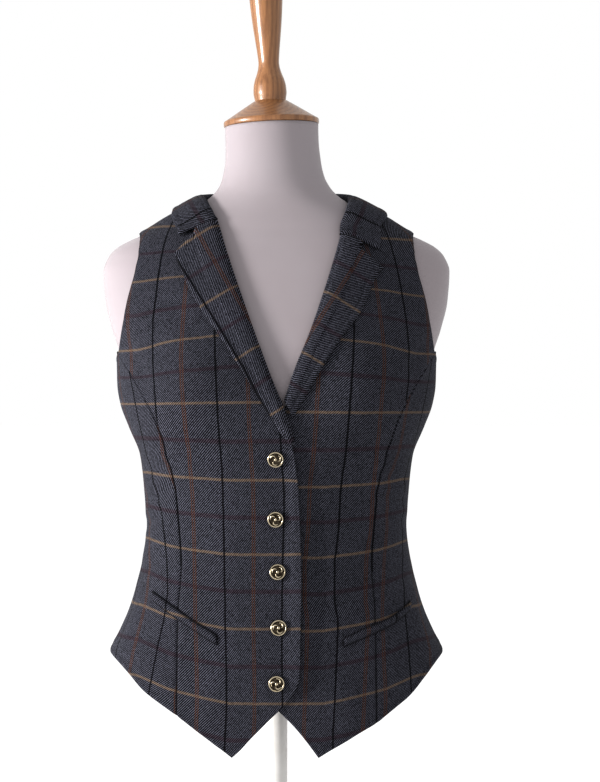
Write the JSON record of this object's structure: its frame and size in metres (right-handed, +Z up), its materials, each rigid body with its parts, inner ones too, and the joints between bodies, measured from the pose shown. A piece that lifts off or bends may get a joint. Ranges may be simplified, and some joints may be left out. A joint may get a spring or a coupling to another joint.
{
  "type": "suit waistcoat on a dress form",
  "caption": "Fitted tweed suit waistcoat with notched collar, slanted pocket welts and pointed hem, buttoned over a limbless dress form on a round stand.",
  "frame": {"origin": "centre of the round base's flat underside", "axes": "+Z up, the front of the waistcoat faces -Y, +X to the viewer's right as one faces it (the wearer's left)"},
  "size_m": [0.3454, 0.27, 0.9484],
  "materials": {
    "tweed": "matt wool twill",
    "tweed_turned": "matt wool twill, cut on the turn for the collar, lapels and welts",
    "antique_brass": "antique satin",
    "form_jersey": "smooth matt jersey",
    "turned_wood": "satin varnish",
    "stand_paint": "satin off-white paint"
  },
  "bodies": {
    "root": {"front_right": "tweed", "front_left": "tweed", "side_right": "tweed", "side_left": "tweed", "back_right": "tweed", "back_left": "tweed", "lapel_right": "tweed_turned", "lapel_left": "tweed_turned", "collar": "tweed_turned", "pocket_welt_right": "tweed_turned", "pocket_welt_left": "tweed_turned", "button_1": "antique_brass", "button_2": "antique_brass", "button_3": "antique_brass", "button_4": "antique_brass", "button_5": "antique_brass", "dress_form": "form_jersey", "neck_cap": "turned_wood", "stand_post": "stand_paint", "stand_base": "stand_paint"}
  },
  "joints": []
}
